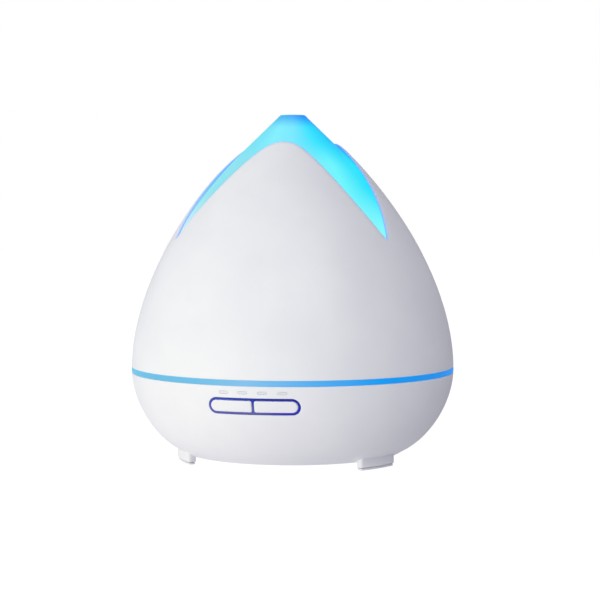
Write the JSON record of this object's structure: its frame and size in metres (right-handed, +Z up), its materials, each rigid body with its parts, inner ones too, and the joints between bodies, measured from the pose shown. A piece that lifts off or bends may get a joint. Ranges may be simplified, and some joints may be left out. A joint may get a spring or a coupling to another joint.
{
  "type": "essential oil diffuser",
  "caption": "Bud-shaped ultrasonic essential oil diffuser: a petalled cover over a lit mist cone lifts off a round base with water tank, fan, two keys and a lit band.",
  "frame": {"origin": "on the surface it stands on, under the middle of the base", "axes": "+Z up, -Y towards the user, where the keys are, +X to the user's right"},
  "size_m": [0.1678, 0.168, 0.1787],
  "materials": {
    "white_shell": "satin moulded ABS",
    "frosted_cone": "frosted translucent polypropylene, lit from inside",
    "frosted_tank": "frosted translucent polypropylene",
    "lit_band": "translucent plastic, lit from inside",
    "key_light": "translucent plastic, lit from inside",
    "pale_window": "pale translucent plastic",
    "pale_nylon": "natural nylon",
    "silicone": "soft matt silicone",
    "piezo_ceramic": "silvered piezo ceramic",
    "steel_screw": "plated steel",
    "aluminium": "plain aluminium",
    "black_plastic": "moulded black plastic",
    "green_board": "printed circuit board with solder mask",
    "copper_coil": "enamelled copper wire on a ferrite core",
    "red_wire": "insulated wire",
    "grey_wire": "flat cable insulation"
  },
  "bodies": {
    "base": {"base_housing": "white_shell", "bottom_cover": "white_shell", "fan_hood": "white_shell", "water_tank": "frosted_tank", "light_band": "lit_band", "key_frame": "key_light", "indicator_window_1": "pale_window", "indicator_window_2": "pale_window", "indicator_window_3": "pale_window", "indicator_window_4": "pale_window", "transducer_connector": "pale_nylon", "power_connector": "pale_nylon", "key_connector": "pale_nylon", "foot_pad_rear": "silicone", "foot_pad_front_left": "silicone", "foot_pad_front_right": "silicone", "transducer_gasket": "silicone", "transducer_disc": "piezo_ceramic", "bottom_screw_1": "steel_screw", "bottom_screw_2": "steel_screw", "bottom_screw_3": "steel_screw", "clamp_screw_1": "steel_screw", "clamp_screw_2": "steel_screw", "clamp_screw_3": "steel_screw", "fan_screw_1": "steel_screw", "fan_screw_2": "steel_screw", "board_screw_1": "steel_screw", "board_screw_2": "steel_screw", "key_board_screw_left": "steel_screw", "key_board_screw_right": "steel_screw", "clamp_ring": "aluminium", "heat_sink": "aluminium", "fan_frame": "black_plastic", "light_switch": "black_plastic", "mist_switch": "black_plastic", "capacitor_1": "black_plastic", "capacitor_2": "black_plastic", "control_chip": "black_plastic", "power_jack": "black_plastic", "transducer_lead_black": "black_plastic", "power_lead": "black_plastic", "led_board": "green_board", "key_board": "green_board", "main_board": "green_board", "drive_coil": "copper_coil", "transducer_lead_red": "red_wire", "fan_lead": "red_wire", "key_cable": "grey_wire"},
    "cover": {"outer_cover": "white_shell", "light_cone": "frosted_cone", "mist_funnel": "frosted_tank"},
    "light_button": {"light_key": "white_shell", "light_switch_plunger": "black_plastic"},
    "mist_button": {"mist_key": "white_shell", "mist_switch_plunger": "black_plastic"},
    "rotor": {"fan_rotor": "black_plastic"}
  },
  "joints": [
    {"name": "cover_lift", "type": "slide", "parent": "base", "child": "cover", "axis": [0, 0, 1], "range_m": [0, 0.1]},
    {"name": "light_button_press", "type": "slide", "parent": "base", "child": "light_button", "axis": [0, 1, 0], "range_m": [0, 0.0005], "stiffness_N_per_m": 3000},
    {"name": "mist_button_press", "type": "slide", "parent": "base", "child": "mist_button", "axis": [0, 1, 0], "range_m": [0, 0.0005], "stiffness_N_per_m": 3000},
    {"name": "fan_spin", "type": "hinge", "parent": "base", "child": "rotor", "pos_m": [0, 0.0346, 0.0116], "axis": [0, 0, 1], "continuous": true}
  ]
}
